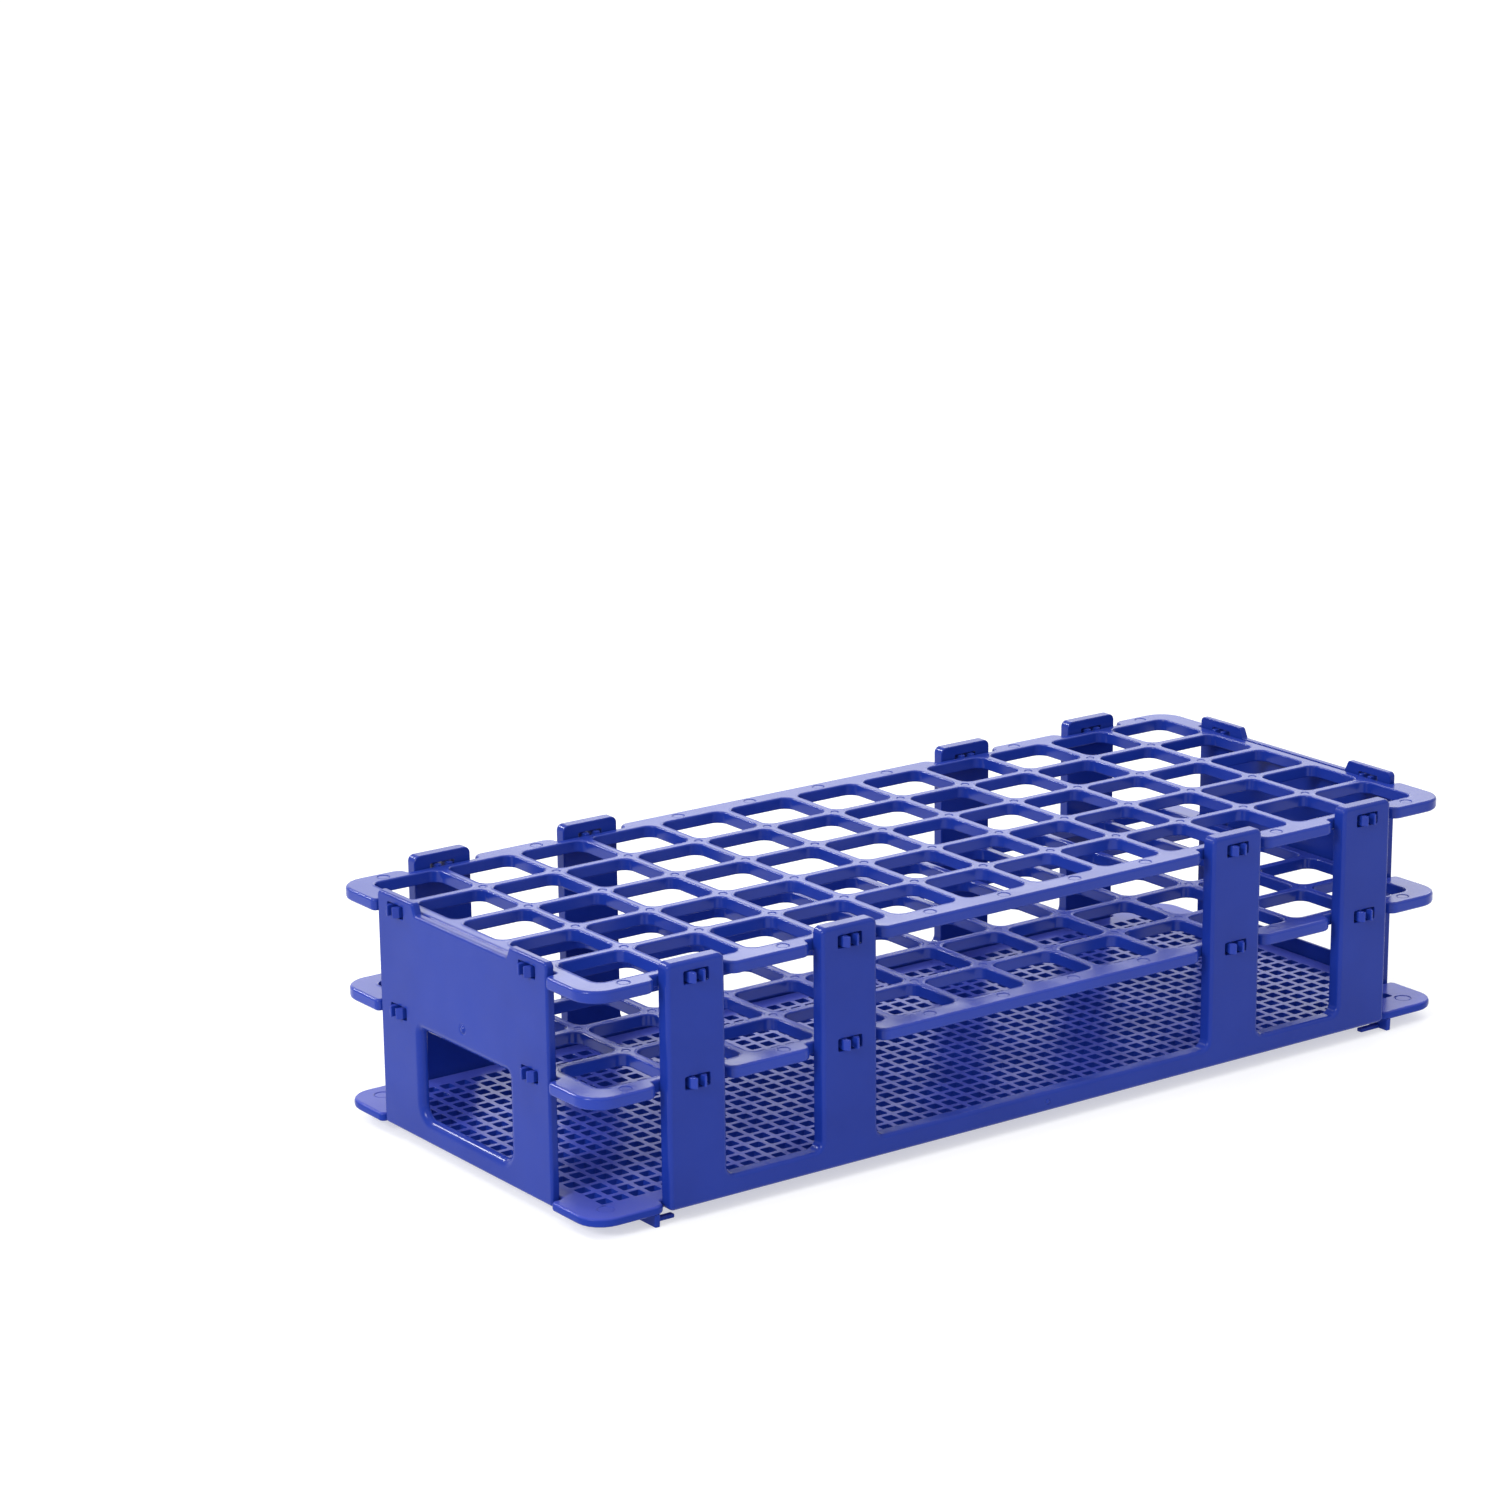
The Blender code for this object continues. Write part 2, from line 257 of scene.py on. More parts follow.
def fillet(before, corner, after, radius, steps):
    """Points of the arc that rounds one corner of an outline, each with its exact normal."""
    here = Vector(corner)
    back = (Vector(before) - here).normalized()
    ahead = (Vector(after) - here).normalized()
    half = back.angle(ahead) / 2
    centre = here + (back + ahead).normalized() * (radius / sin(half))
    start = here + back * (radius / tan(half)) - centre
    end = here + ahead * (radius / tan(half)) - centre
    first = atan2(start.y, start.x)
    sweep = atan2(start.x * end.y - start.y * end.x, start.dot(end))
    bulge = 1.0 if sweep > 0.0 else -1.0
    points = []
    for step in range(steps + 1):
        angle = first + sweep * step / steps
        a, b = cos(angle), sin(angle)
        points.append((centre.x + radius * a, centre.y + radius * b, bulge * a, bulge * b))
    return points


def rounded(corners, steps=ARC_STEPS):
    """Closed outline from anticlockwise (a, b, radius) corners."""
    points = []
    for index, (a, b, radius) in enumerate(corners):
        before = corners[index - 1][:2]
        after = corners[(index + 1) % len(corners)][:2]
        points.extend(fillet(before, (a, b), after, max(radius, SMALL_RADIUS), steps))
    return points


def rectangle(a, b, half_a, half_b, radius, steps):
    """Rounded rectangle centred on a, b."""
    signs = ((-1, -1), (1, -1), (1, 1), (-1, 1))
    return rounded([(a + i * half_a, b + j * half_b, radius) for i, j in signs], steps)


def circle(a, b, radius):
    """Round outline."""
    turns = [2 * pi * step / MARK_STEPS for step in range(MARK_STEPS)]
    return [(a + radius * cos(t), b + radius * sin(t), cos(t), sin(t)) for t in turns]


def mirrored(half):
    """A half outline of (a, b, radius) corners and its copy turned by half a turn."""
    return half + [(-a, -b, radius) for a, b, radius in half]


def groove(radius):
    """Rings of an ejector mark: a fine groove round a disc that lies slightly low."""
    rings = []
    for banks, share, quarter_turns in GROOVE_RINGS:
        rings.append((radius - banks * MARK_BANK, share * MARK_GROOVE, quarter_turns * pi / 2))
    return rings


def gate(radius):
    """Rings of a gate mark: a dimple with a small nub in the middle."""
    return [(share * radius, rise, quarter_turns * pi / 2) for share, rise, quarter_turns in GATE_RINGS]


# ---- profiles: lists of (inset, depth, tilt), from the near face to the far one ----
# The tilt is the normal's angle: a quarter turn points out of the near face, and 0 out of the wall.


def edge_profile(near, far, near_round, far_round, steps=EDGE_STEPS, draft=0.0):
    """Wall between two flat faces, rounded at both. Draft sets the far side back."""
    toward = 1.0 if far > near else -1.0
    rings = []
    for step in range(steps + 1):
        turn = pi / 2 * (1 - step / steps)
        inset = near_round * (1 - cos(turn))
        rings.append((inset, near + toward * near_round * (1 - sin(turn)), turn))
    for step in range(steps + 1):
        turn = pi / 2 * step / steps
        inset = draft + far_round * (1 - cos(turn))
        rings.append((inset, far - toward * far_round * (1 - sin(turn)), -turn))
    return rings


class Moulding:
    """A mesh under construction, with an exact normal kept for each vertex."""

    def __init__(self, name, plane, facing):
        self.name = name
        self.mesh = bmesh.new()
        self.normals = []
        self.place = PLANES[plane]  # the plane that outlines lie in
        self.facing = facing  # the sign of the near face's normal

    def vertex(self, a, b, depth, normal_a, normal_b, tilt):
        """New vertex with its normal, which leans out of the outline's plane by the tilt."""
        normal = self.place(normal_a * cos(tilt), normal_b * cos(tilt), self.facing * sin(tilt))
        self.normals.append(normal)
        return self.mesh.verts.new(self.place(a, b, depth))

    def wall(self, outline, profile, side):
        """Skins an outline along a profile. Side is 1 round solid matter and -1 round a hole.

        Returns the first and the last ring of vertices.
        """
        rings = []
        for inset, depth, tilt in profile:
            ring = []
            for a, b, normal_a, normal_b in outline:
                a -= side * normal_a * inset
                b -= side * normal_b * inset
                ring.append(self.vertex(a, b, depth, side * normal_a, side * normal_b, tilt))
            rings.append(ring)
        for upper, lower in zip(rings, rings[1:]):
            for index, corner in enumerate(upper):
                last = index - 1
                self.mesh.faces.new((upper[last], corner, lower[index], lower[last]))
        return rings[0], rings[-1]

    def fill(self, loops):
        """Fills a flat face between closed loops of vertices."""
        edges = []
        for loop in loops:
            for index, corner in enumerate(loop):
                pair = (loop[index - 1], corner)
                edges.append(self.mesh.edges.get(pair) or self.mesh.edges.new(pair))
        bmesh.ops.triangle_fill(self.mesh, edges=edges, use_beauty=True)

    def mark(self, a, b, level, rings):
        """Round mark on a flat face, from (radius, rise, tilt) rings. Returns its outermost loop."""
        loops = []
        for radius, rise, tilt in rings:
            outline = circle(a, b, radius)
            depth = level + self.facing * rise
            loops.append([self.vertex(p, q, depth, out_p, out_q, tilt) for p, q, out_p, out_q in outline])
        for outer, inner in zip(loops, loops[1:]):
            for index, corner in enumerate(outer):
                self.mesh.faces.new((outer[index - 1], corner, inner[index], inner[index - 1]))
        self.mesh.faces.new(loops[-1])
        return loops[0]

    def finish(self, material):
        """Makes the object, smooth everywhere, with the kept normals."""
        bmesh.ops.recalc_face_normals(self.mesh, faces=self.mesh.faces[:])
        data = bpy.data.meshes.new(self.name)
        self.mesh.to_mesh(data)
        self.mesh.free()
        data.polygons.foreach_set("use_smooth", [True] * len(data.polygons))
        data.normals_split_custom_set_from_vertices([tuple(n) for n in self.normals])
        data.materials.append(material)
        piece = bpy.data.objects.new(self.name, data)
        bpy.context.collection.objects.link(piece)
        return piece


def plate(mould, outline, profile, holes=(), marks=()):
    """Flat plate: an outline with its wall profile, (outline, profile) holes, and marks on the near face."""
    near, far = mould.wall(outline, profile, 1)
    nears, fars = [near], [far]
    for hole, hole_profile in holes:
        near, far = mould.wall(hole, hole_profile, -1)
        nears.append(near)
        fars.append(far)
    mould.fill(nears + list(marks))
    mould.fill(fars)


# ---- sizes that come from the frame ----


def centre_of(opening):
    """Middle of an opening of the record, seen from above."""
    low, high = opening["box_m"]
    return (low[0] + high[0]) / 2, (low[1] + high[1]) / 2


def read_frame(frame):
    """Grid pitch and the main faces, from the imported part."""
    openings = {o["name"]: o for o in frame["record"]["physics"]["openings"]}
    first = centre_of(openings["tube_place_1_1"])
    last = centre_of(openings[f"tube_place_{COLUMNS}_{ROWS}"])
    side_low, side_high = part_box("front_panel")
    end_low, end_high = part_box("right_end_panel")
    tray_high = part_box("bottom_tray")[1]
    prong_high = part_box("top_tray")[1]
    return {
        "pitch_x": (last[0] - first[0]) / (COLUMNS - 1),
        "pitch_y": (last[1] - first[1]) / (ROWS - 1),
        "top": prong_high.z - PRONG_HIGH,
        "middle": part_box("middle_tray")[1].z - PRONG_HIGH,
        "floor": tray_high.z,
        "tray_half_x": tray_high.x,
        "tray_half_y": tray_high.y,
        "tip_x": prong_high.x,
        "tip_y": prong_high.y,
        "side_half_x": side_high.x,
        "side_face_y": -side_low.y,
        "side_low": side_low.z,
        "side_top": side_high.z,
        "end_face_x": end_high.x,
        "end_half_y": end_high.y,
        "end_low": end_low.z,
        "shoulder_top": end_high.z,
    }


# ---- trays ----


def tube_positions(at):
    """Centres of the tube openings."""
    columns = [(column - (COLUMNS - 1) / 2) * at["pitch_x"] for column in range(COLUMNS)]
    rows = [(row - (ROWS - 1) / 2) * at["pitch_y"] for row in range(ROWS)]
    return [(x, y) for x in columns for y in rows]


def end_of_tray(at):
    """Corners of a tray's right-hand end: two ears with a set-back between them."""
    end_x = at["end_face_x"] - END_THICK - FIT
    ear_y = at["end_half_y"] + FIT
    return [
        (at["tray_half_x"], -at["tray_half_y"], EAR_RADIUS),
        (at["tray_half_x"], -ear_y, EAR_NOTCH_RADIUS),
        (end_x, -ear_y, 0.0),
        (end_x, ear_y, 0.0),
        (at["tray_half_x"], ear_y, EAR_NOTCH_RADIUS),
        (at["tray_half_x"], at["tray_half_y"], EAR_RADIUS),
    ]


def notches(at, spans):
    """Corners of the notches along a tray's front edge, one for each (left, right) span."""
    edge_y = at["tray_half_y"]
    notch_y = at["side_face_y"] - SIDE_THICK - FIT
    corners = []
    for left, right in spans:
        corners.append((left, -edge_y, NOTCH_RADIUS))
        corners.append((left, -notch_y, 0.0))
        corners.append((right, -notch_y, 0.0))
        corners.append((right, -edge_y, NOTCH_RADIUS))
    return corners


def tray_marks(mould, at, level):
    """Ejector marks at the web crossings and along both borders."""
    loops = []
    for column in range(1, COLUMNS):
        for row in range(1, ROWS):
            x = (column - COLUMNS / 2) * at["pitch_x"]
            y = (row - ROWS / 2) * at["pitch_y"]
            loops.append(mould.mark(x, y, level, groove(CROSSING_MARK)))
    border = at["tray_half_y"] - BORDER_MARK_INSET
    for x in BORDER_MARKS_X:
        for side_x, side_y in CORNERS:
            loops.append(mould.mark(side_x * x, side_y * border, level, groove(BORDER_MARK)))
    return loops


def prong_outline(root, tip):
    """Right-hand one of a pair of snap prongs, pointing along +b."""
    inner = PRONG_SLOT / 2
    outer = inner + PRONG_WIDTH
    corner = PRONG_EDGE
    return [
        (inner, root, corner),
        (outer, root, corner),
        (outer, tip - PRONG_RAMP, corner),
        (inner + PRONG_TIP, tip, corner),
        (inner, tip, corner),
    ]


def turned(corners, along, side, mirror, ends):
    """Moves prong corners to their window and keeps them anticlockwise. Prongs in the ends point along X."""
    moved = []
    for a, b, radius in corners:
        shifted = along + mirror * a
        moved.append((side * b, shifted, radius) if ends else (shifted, side * b, radius))
    area = sum(p[0] * q[1] - q[0] * p[1] for p, q in zip(moved, moved[1:] + moved[:1]))
    return moved if area > 0.0 else moved[::-1]


def prongs(mould, at, level):
    """All the snap prongs of one tray."""
    profile = edge_profile(level + PRONG_HIGH, level - PRONG_LOW, PRONG_EDGE, PRONG_EDGE, SMALL_STEPS)
    sets = [(x, at["side_face_y"], SIDE_THICK, at["tip_y"], False) for x in UPRIGHTS_X]
    sets += [(y, at["end_face_x"], END_THICK, at["tip_x"], True) for y in (-END_CLIP_Y, END_CLIP_Y)]
    for along, face, thick, tip, ends in sets:
        corners = prong_outline(face - thick - FIT - PRONG_ROOT, tip)
        for side in (-1, 1):
            for mirror in (-1, 1):
                outline = rounded(turned(corners, along, side, mirror, ends), SMALL_STEPS)
                plate(mould, outline, profile)


def opening_profile(level):
    """Wall of a tube opening, from the foot of its raised rim down to the lower face."""
    bead = []
    for width, rise, lean in BEAD_RINGS:
        bead.append((RIM + width * BEAD_WIDTH, level + rise * BEAD_RISE, pi / 2 + lean))
    return bead + edge_profile(level + BEAD_RISE, level - TRAY_THICK, RIM, RIM, SMALL_STEPS, DRAFT)


def tube_tray(name, level, at, material):
    """Top or middle tray."""
    mould = Moulding(name, "XY", 1)
    half_notch = UPRIGHT_WIDTH / 2 + NOTCH_ROOM
    spans = [(x - half_notch, x + half_notch) for x in UPRIGHTS_X]
    outline = rounded(mirrored(notches(at, spans) + end_of_tray(at)))
    profile = edge_profile(level, level - TRAY_THICK, EDGE, EDGE)
    half_x = (at["pitch_x"] - WEB) / 2
    half_y = (at["pitch_y"] - WEB) / 2
    holes = []
    for x, y in tube_positions(at):
        opening = rectangle(x, y, half_x, half_y, OPENING_RADIUS, OPENING_STEPS)
        holes.append((opening, opening_profile(level)))
    plate(mould, outline, profile, holes, tray_marks(mould, at, level))
    prongs(mould, at, level)
    return mould.finish(material)


def mesh_field(mould, level, facing):
    """Grid of vertices for one face of the floor's mesh, each cell of which gets a hole."""
    grid = []
    for i in range(MESH_COLUMNS + 1):
        x = MESH_HALF_X * (2 * i / MESH_COLUMNS - 1)
        column = []
        for j in range(MESH_ROWS + 1):
            y = MESH_HALF_Y * (2 * j / MESH_ROWS - 1)
            column.append(mould.vertex(x, y, level, 0.0, 0.0, facing * pi / 2))
        grid.append(column)
    return grid


def frame_hole(mould, corners, ring):
    """Fills between one grid cell, given by its corners, and the ring of the hole in its middle."""
    per_corner = len(ring) // 4
    for quarter, corner in enumerate(corners):
        arc = ring[quarter * per_corner : (quarter + 1) * per_corner]
        for first, second in zip(arc, arc[1:]):
            mould.mesh.faces.new((corner, first, second))
        following = (quarter + 1) % 4
        mould.mesh.faces.new((corner, arc[-1], ring[following * per_corner], corners[following]))


def border_loop(grid):
    """The outermost vertices of a grid, in order."""
    bottom = [column[0] for column in grid]
    right = grid[-1][1:]
    top = [column[-1] for column in reversed(grid[:-1])]
    left = list(reversed(grid[0][1:-1]))
    return bottom + right + top + left


def feet(mould, at):
    """Four feet: a rib across the rack, with a low ledge behind the side panel."""
    rib = at["side_half_x"] + FIT + FOOT_SETBACK
    front = at["tray_half_y"] - FOOT_INSET
    ledge = at["side_face_y"] - SIDE_THICK - FIT
    under = at["floor"] - FLOOR_THICK + FOOT_SINK
    rib_profile = edge_profile(under, 0.0, FOOT_ROOT_EDGE, FOOT_EDGE, SMALL_STEPS, FOOT_DRAFT)
    ledge_profile = edge_profile(FOOT_LEDGE_HEIGHT, 0.0, FOOT_EDGE, FOOT_EDGE, SMALL_STEPS)
    rib_middle = (rib + FOOT_RIB_THICK / 2, front - FOOT_RIB_LENGTH / 2)
    ledge_middle = (rib + (FOOT_OVERLAP - FOOT_LEDGE_LENGTH) / 2, ledge - FOOT_LEDGE_DEPTH / 2)
    rib_size = (FOOT_RIB_THICK / 2, FOOT_RIB_LENGTH / 2)
    ledge_size = ((FOOT_OVERLAP + FOOT_LEDGE_LENGTH) / 2, FOOT_LEDGE_DEPTH / 2)
    bars = ((rib_middle, rib_size, rib_profile), (ledge_middle, ledge_size, ledge_profile))
    for side_x, side_y in CORNERS:
        for (x, y), size, profile in bars:
            plate(mould, rectangle(side_x * x, side_y * y, *size, SMALL_RADIUS, SMALL_STEPS), profile)


def mesh_holes(mould, upper, lower, level, low):
    """Small square holes, one in each cell of the grids on the two faces of the floor."""
    profile = [
        (MESH_RIM, level, pi / 2),
        (0.0, level - MESH_RIM, 0.0),
        (0.0, low + MESH_RIM, 0.0),
        (MESH_RIM, low, -pi / 2),
    ]
    step_x = 2 * MESH_HALF_X / MESH_COLUMNS
    step_y = 2 * MESH_HALF_Y / MESH_ROWS
    for i in range(MESH_COLUMNS):
        for j in range(MESH_ROWS):
            x = (i + 0.5) * step_x - MESH_HALF_X
            y = (j + 0.5) * step_y - MESH_HALF_Y
            hole = rectangle(x, y, MESH_HOLE / 2, MESH_HOLE / 2, MESH_HOLE_RADIUS, SMALL_STEPS)
            rim, foot = mould.wall(hole, profile, -1)
            for grid, ring in ((upper, rim), (lower, foot)):
                cell = (grid[i][j], grid[i + 1][j], grid[i + 1][j + 1], grid[i][j + 1])
                frame_hole(mould, cell, ring)


def floor_tray(name, at, material):
    """Bottom tray with its fine mesh and its feet."""
    level = at["floor"]
    low = level - FLOOR_THICK
    mould = Moulding(name, "XY", 1)
    notch = at["side_half_x"] + FIT
    outline = rounded(mirrored(notches(at, [(-notch, notch)]) + end_of_tray(at)))
    near, far = mould.wall(outline, edge_profile(level, low, EDGE, EDGE), 1)
    upper = mesh_field(mould, level, 1)
    lower = mesh_field(mould, low, -1)
    mesh_holes(mould, upper, lower, level, low)
    marks = []
    for side_x, side_y in CORNERS:
        x = side_x * (at["tray_half_x"] - EAR_MARK_INSET_X)
        y = side_y * (at["tray_half_y"] - EAR_MARK_INSET_Y)
        marks.append(mould.mark(x, y, level, groove(EAR_MARK)))
    mould.fill([near, border_loop(upper)] + marks)
    mould.fill([far, border_loop(lower)])
    feet(mould, at)
    return mould.finish(material)


# ---- panels ----


def clip_window(along, level):
    """Window in a panel for one pair of prongs."""
    middle = level + CLIP_TOP - CLIP_HEIGHT / 2
    return rectangle(along, middle, CLIP_WIDTH / 2, CLIP_HEIGHT / 2, SMALL_RADIUS, SMALL_STEPS)


def clip_windows(places, at, outer, inner):
    """Clip windows at some places along a panel, each at both tube trays, with their profile."""
    profile = edge_profile(outer, inner, WINDOW_EDGE, WINDOW_BACK_EDGE, SMALL_STEPS)
    return [(clip_window(along, level), profile) for along in places for level in (at["top"], at["middle"])]


def side_panel(name, side, at, material):
    """Long side panel: a rail with four uprights."""
    mould = Moulding(name, "XZ", side)
    half = UPRIGHT_WIDTH / 2
    rail_top = at["side_low"] + RAIL_HEIGHT
    corners = [(side_end * at["side_half_x"], at["side_low"], PANEL_CORNER) for side_end in (-1, 1)]
    for x in reversed(UPRIGHTS_X):
        if x < UPRIGHTS_X[-1]:
            corners.append((x + half, rail_top, GAP_RADIUS))
        corners.append((x + half, at["side_top"], UPRIGHT_TOP_RADIUS))
        corners.append((x - half, at["side_top"], UPRIGHT_TOP_RADIUS))
        if x > UPRIGHTS_X[0]:
            corners.append((x - half, rail_top, GAP_RADIUS))
    outer = side * at["side_face_y"]
    inner = side * (at["side_face_y"] - SIDE_THICK)
    profile = edge_profile(outer, inner, SIDE_EDGE, SIDE_BACK_EDGE)
    rail_middle = at["side_low"] + RAIL_HEIGHT / 2
    mark = mould.mark(0.0, rail_middle, outer, gate(RAIL_GATE_RADIUS))
    plate(mould, rounded(corners), profile, clip_windows(UPRIGHTS_X, at, outer, inner), [mark])
    return mould.finish(material)


def end_panel(name, side, at, material):
    """End panel: shoulders, clip windows and a hand hole with a rounded lip."""
    mould = Moulding(name, "YZ", side)
    half = [
        (at["end_half_y"], at["end_low"], SHOULDER_CORNER),
        (at["end_half_y"], at["shoulder_top"], SHOULDER_OUTER_RADIUS),
        (SHOULDER_INNER_Y, at["shoulder_top"], SHOULDER_CORNER),
        (SHOULDER_FOOT_Y, at["top"], 0.0),
    ]
    outline = rounded(half + [(-y, z, radius) for y, z, radius in reversed(half)])
    outer = side * at["end_face_x"]
    inner = side * (at["end_face_x"] - END_THICK)
    profile = edge_profile(outer, inner, END_EDGE, END_BACK_EDGE)
    holes = clip_windows((-END_CLIP_Y, END_CLIP_Y), at, outer, inner)
    holes.append((hand_outline(), lip_profile(outer, inner)))
    mark = mould.mark(0.0, GATE_HEIGHT, outer, gate(GATE_RADIUS))
    plate(mould, outline, profile, holes, [mark])
    return mould.finish(material)


def hand_outline():
    """Hand hole at its narrowest."""
    half = HAND_HALF_Y
    corners = [
        (-half, HAND_LOW, HAND_RADIUS_LOW),
        (half, HAND_LOW, HAND_RADIUS_LOW),
        (half, HAND_HIGH, HAND_RADIUS_HIGH),
        (-half, HAND_HIGH, HAND_RADIUS_HIGH),
    ]
    return rounded(corners, HAND_STEPS)


def lip_profile(outer, inner):
    """Quarter round from the outer face into the hand hole."""
    rings = []
    reach = (inner - outer) * (1 - HAND_BACK_EDGE / END_THICK)
    for step in range(LIP_STEPS + 1):
        turn = pi / 2 * (1 - step / LIP_STEPS)
        rings.append((HAND_FLARE * (1 - cos(turn)), outer + reach * (1 - sin(turn)), turn))
    rings.append((HAND_BACK_EDGE, inner, -pi / 2))
    return rings


# ---- material ----


def shade(colour, painted_light_scale=1.0):
    """Colour scaled to paint in more or less light, with an alpha."""
    red, green, blue = colour
    return (red * painted_light_scale, green * painted_light_scale, blue * painted_light_scale, 1.0)


def shader_node(tree, kind, source=None, **inputs):
    """New shader node with its inputs set, where an underscore stands for a space, fed from one output."""
    node = tree.nodes.new("ShaderNode" + kind)
    for name, value in inputs.items():
        node.inputs[name.replace("_", " ")].default_value = value
    if source:
        output, socket = source
        tree.links.new(output, node.inputs[socket])
    return node


def plastic_colour(tree, clouds, painted_reflection, painted_light_scale):
    """Clouded blue, painted paler on the faces that look up as a painted reflection of the bright sky."""
    blues = shader_node(tree, "ValToRGB", (clouds, "Fac"))
    deep, mid = blues.color_ramp.elements
    deep.position = CLOUD_DEEP
    # Painted light: the blues are scaled up on the trays to stand in for more light falling on them
    deep.color = shade(DEEP_BLUE, painted_light_scale)
    mid.position = CLOUD_MID
    mid.color = shade(MID_BLUE, painted_light_scale)
    geometry = shader_node(tree, "NewGeometry")
    facing = shader_node(tree, "SeparateXYZ", (geometry.outputs["Normal"], "Vector"))
    # Painted reflection: the more a face looks up, the more of the paler blue it gets
    limits = {"From_Min": PAINTED_REFLECTION_START, "From_Max": PAINTED_REFLECTION_FULL, "To_Max": painted_reflection}
    painted_reflection_mask = shader_node(tree, "MapRange", (facing.outputs["Z"], "Value"), **limits)
    tint = shader_node(tree, "MixRGB", (painted_reflection_mask.outputs["Result"], "Fac"), Color2=shade(PAINTED_REFLECTION_BLUE))
    tree.links.new(blues.outputs["Color"], tint.inputs["Color1"])
    return tint.outputs["Color"]


def plastic_relief(tree, place):
    """Slight waviness with a fine grain on top."""
    waves = shader_node(tree, "TexNoise", (place, "Vector"), Scale=WAVE_SCALE, Detail=1.0).outputs["Fac"]
    grain = shader_node(tree, "TexNoise", (place, "Vector"), Scale=GRAIN_SCALE, Detail=2.0).outputs["Fac"]
    warp = shader_node(tree, "Bump", (waves, "Height"), Strength=WAVE_STRENGTH, Distance=WAVE_HEIGHT)
    bump = shader_node(tree, "Bump", (grain, "Height"), Strength=GRAIN_STRENGTH, Distance=GRAIN_HEIGHT)
    tree.links.new(warp.outputs["Normal"], bump.inputs["Normal"])
    return bump.outputs["Normal"]


def blue_plastic(name):
    """Injection moulded polypropylene: deep blue, with faint clouding, slight waviness and a fine grain."""
    material = bpy.data.materials.new(name)
    material.use_nodes = True
    tree = material.node_tree
    shader = tree.nodes["Principled BSDF"]
    polish, specular, painted_reflection, painted_light_scale = FINISH[name]
    place = shader_node(tree, "TexCoord").outputs["Object"]
    clouds = shader_node(tree, "TexNoise", (place, "Vector"), Scale=CLOUD_SCALE, Detail=3.0).outputs["Fac"]
    limits = {"To_Min": polish, "To_Max": SHEEN_SPREAD * polish}
    sheen = shader_node(tree, "MapRange", (clouds, "Value"), **limits)
    tree.links.new(plastic_colour(tree, clouds, painted_reflection, painted_light_scale), shader.inputs["Base Color"])
    tree.links.new(sheen.outputs["Result"], shader.inputs["Roughness"])
    tree.links.new(plastic_relief(tree, place), shader.inputs["Normal"])
    shader.inputs["IOR"].default_value = PLASTIC_IOR
    shader.inputs["Specular IOR Level"].default_value = specular
    return material


# ---- studio ----


def stage_floor():
    """Plain white table, faintly lit from within, wide enough for every view."""
    mesh = bmesh.new()
    bmesh.ops.create_circle(mesh, cap_ends=True, cap_tris=True, segments=96, radius=TABLE_RADIUS)
    data = bpy.data.meshes.new("studio_floor")
    mesh.to_mesh(data)
    mesh.free()
    floor = bpy.data.objects.new("studio_floor", data)
    bpy.context.collection.objects.link(floor)
    material = bpy.data.materials.new("studio_floor")
    material.use_nodes = True
    shader = material.node_tree.nodes["Principled BSDF"]
    shader.inputs["Base Color"].default_value = (TABLE_SHADE, TABLE_SHADE, TABLE_SHADE, 1.0)
    shader.inputs["Emission Color"].default_value = (1.0, 1.0, 1.0, 1.0)
    shader.inputs["Emission Strength"].default_value = TABLE_GLOW
    shader.inputs["Roughness"].default_value = 0.9
    shader.inputs["Specular IOR Level"].default_value = 0.1
    data.materials.append(material)


def softbox(name, place, width, height, power):
    """Rectangular area light aimed at the rack."""
    light = bpy.data.lights.new(name, "AREA")
    light.shape = "RECTANGLE"
    light.size = width
    light.size_y = height
    light.energy = power
    lamp = bpy.data.objects.new(name, light)
    lamp.location = place
    lamp.rotation_mode = "QUATERNION"
    lamp.rotation_quaternion = (Vector(LIGHT_TARGET) - Vector(place)).to_track_quat("-Z", "Y")
    bpy.context.collection.objects.link(lamp)


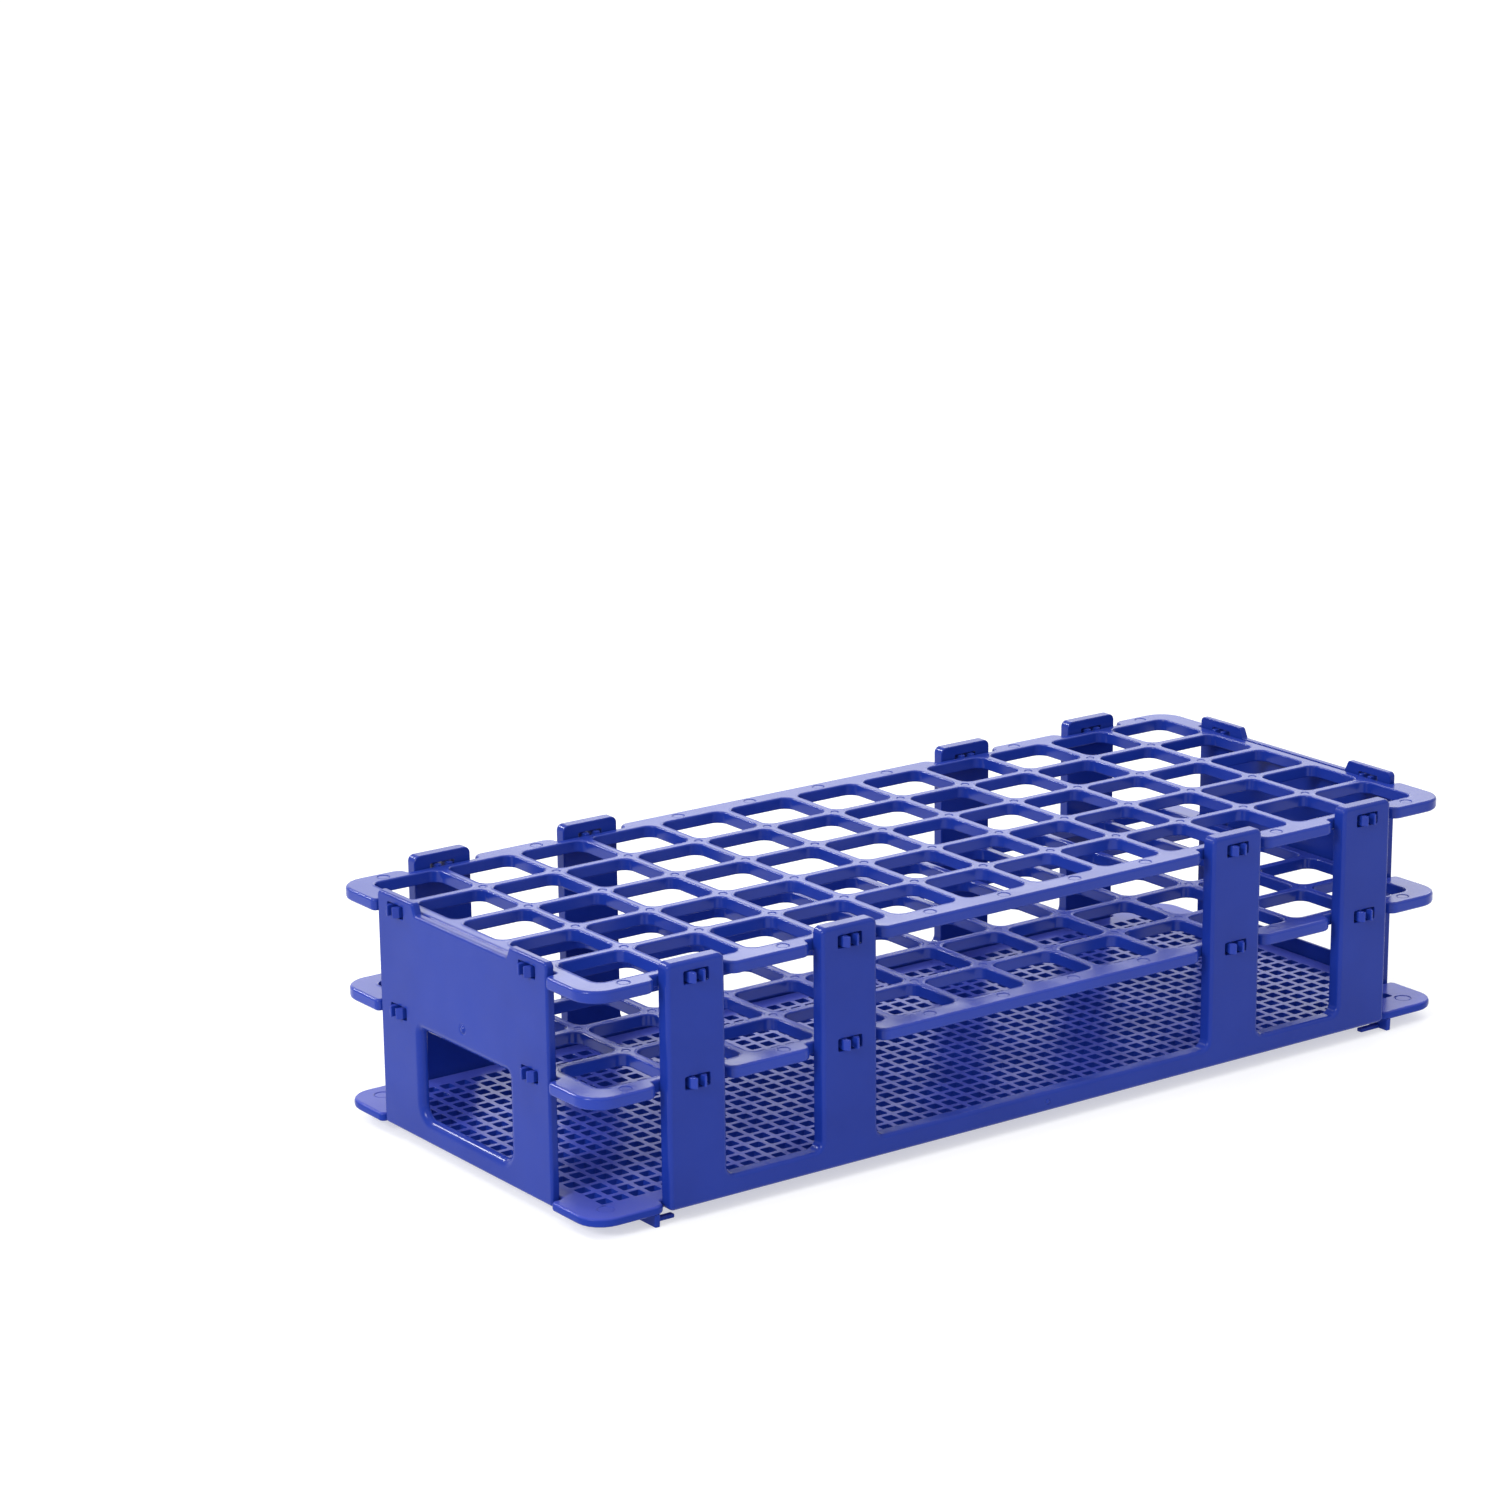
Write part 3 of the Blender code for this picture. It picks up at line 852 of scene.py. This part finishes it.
def studio():
    """White surroundings, brighter overhead than at the horizon, and soft boxes."""
    world = bpy.data.worlds.new("studio")
    world.use_nodes = True
    tree = world.node_tree
    sky = tree.nodes["Background"]
    sky.inputs["Color"].default_value = (1.0, 1.0, 1.0, 1.0)
    place = shader_node(tree, "TexCoord")
    split = shader_node(tree, "SeparateXYZ", (place.outputs["Generated"], "Vector"))
    limits = {"To_Min": SKY_HORIZON, "To_Max": SKY_ZENITH}
    rise = shader_node(tree, "MapRange", (split.outputs["Z"], "Value"), **limits)
    tree.links.new(rise.outputs["Result"], sky.inputs["Strength"])
    bpy.context.scene.world = world
    bpy.context.scene.view_settings.view_transform = "Standard"
    for name, (place, width, height, power) in SOFTBOXES.items():
        softbox(name, place, width, height, power)


def camera():
    """Camera in front of the rack, to the left of its long side and looking down on it."""
    data = bpy.data.cameras.new("camera")
    data.sensor_width = 36.0
    data.lens = CAMERA_LENS
    data.shift_y = CAMERA_SHIFT
    data.clip_start = 0.01
    data.clip_end = 50.0
    view = bpy.data.objects.new("camera", data)
    heading = Matrix.Rotation(-CAMERA_ROUND, 4, "Z")
    pitch = Matrix.Rotation(pi / 2 - CAMERA_DOWN, 4, "X")
    roll = Matrix.Rotation(CAMERA_ROLL, 4, "Z")
    view.matrix_world = Matrix.Translation(CAMERA_PLACE) @ heading @ pitch @ roll
    bpy.context.collection.objects.link(view)
    bpy.context.scene.camera = view


def dress(piece, node):
    """Hangs a piece on the root body and hides the moulding that it stands for."""
    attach(piece, "root")
    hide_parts(node)


def main():
    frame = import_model()
    at = read_frame(frame)
    for node, level in (("top_tray", at["top"]), ("middle_tray", at["middle"])):
        dress(tube_tray(node + "_moulding", level, at, blue_plastic(node)), node)
    dress(floor_tray("bottom_tray_moulding", at, blue_plastic("bottom_tray")), "bottom_tray")
    for node, side in (("front_panel", -1), ("back_panel", 1)):
        dress(side_panel(node + "_moulding", side, at, blue_plastic(node)), node)
    for node, side in (("left_end_panel", -1), ("right_end_panel", 1)):
        dress(end_panel(node + "_moulding", side, at, blue_plastic(node)), node)
    stage_floor()
    studio()
    camera()


main()
